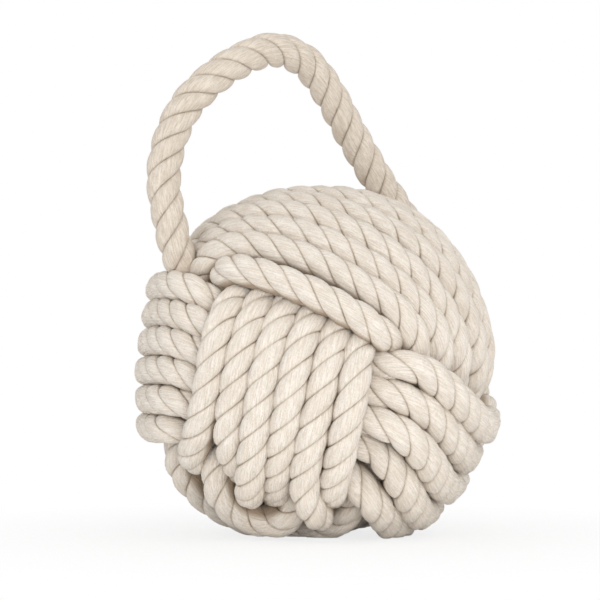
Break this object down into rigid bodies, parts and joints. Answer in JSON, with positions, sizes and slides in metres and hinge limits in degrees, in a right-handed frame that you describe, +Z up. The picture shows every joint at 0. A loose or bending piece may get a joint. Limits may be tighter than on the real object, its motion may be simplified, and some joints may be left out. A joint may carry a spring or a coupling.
{
  "type": "rope knot doorstop",
  "caption": "Ball-shaped doorstop of cotton rope turns tied as a monkey's fist over a sand bag, with a rope loop on top to lift it by.",
  "frame": {"origin": "middle of the outline, on the floor the ball stands on", "axes": "+Z up, -Y toward the viewer of the picture, +X to the viewer's right"},
  "size_m": [0.1578, 0.1608, 0.2319],
  "materials": {
    "cotton_top_turns": "matte cotton rope",
    "cotton_front_turns": "matte cotton rope",
    "cotton_side_turns": "matte cotton rope",
    "cotton_carry_loop": "matte cotton rope",
    "canvas_bag": "plain canvas",
    "canvas_patch": "plain canvas",
    "sand_filling": "dry sand"
  },
  "bodies": {
    "knot": {"top_turns": "cotton_top_turns", "front_turns": "cotton_front_turns", "side_turns": "cotton_side_turns", "core_bag": "canvas_bag", "core_filling": "sand_filling", "mouth_patch": "canvas_patch"},
    "loop": {"carry_loop": "cotton_carry_loop"}
  },
  "joints": [
    {"name": "loop_lean", "type": "hinge", "parent": "knot", "child": "loop", "pos_m": [-0.06297, -0.03408, 0.12627], "axis": [0.8652, 0.4664, 0.1842], "range_deg": [-28, 45]}
  ]
}
